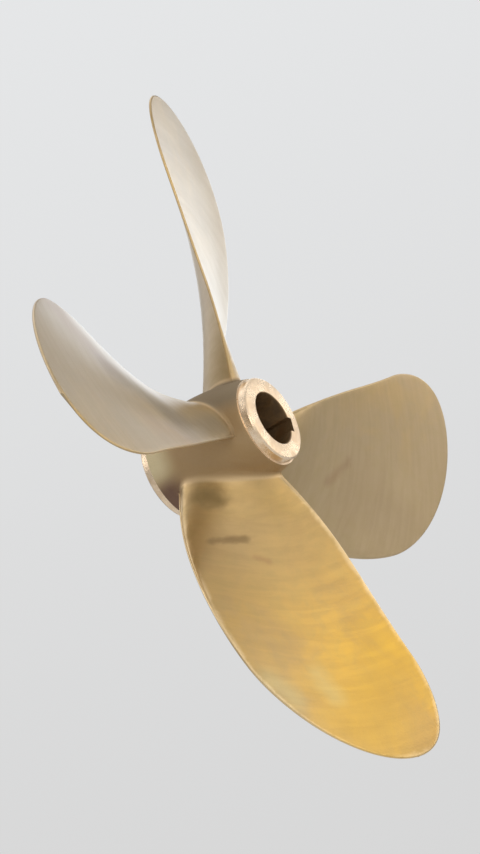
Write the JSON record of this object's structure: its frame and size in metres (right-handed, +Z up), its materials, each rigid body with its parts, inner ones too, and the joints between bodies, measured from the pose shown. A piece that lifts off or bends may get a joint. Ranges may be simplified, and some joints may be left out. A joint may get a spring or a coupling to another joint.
{
  "type": "ship propeller",
  "caption": "Fixed-pitch right-handed ship propeller cast in bronze, with raked and skewed blades and a tapered, keyed shaft bore.",
  "frame": {"origin": "on the shaft axis, in the plane that the blades are drawn from", "axes": "+Z up, the shaft axis along Y, the aft end towards -Y, the first blade straight down"},
  "size_m": [1.5746, 0.3464, 1.5746],
  "materials": {
    "cast_bronze": "nickel aluminium bronze, ground blades, as-cast boss, machined ends, light tarnish",
    "plug_brass": "turned brass plug"
  },
  "bodies": {
    "root": {"propeller_casting": "cast_bronze", "grease_plug_forward": "plug_brass", "grease_plug_aft": "plug_brass"}
  },
  "joints": []
}
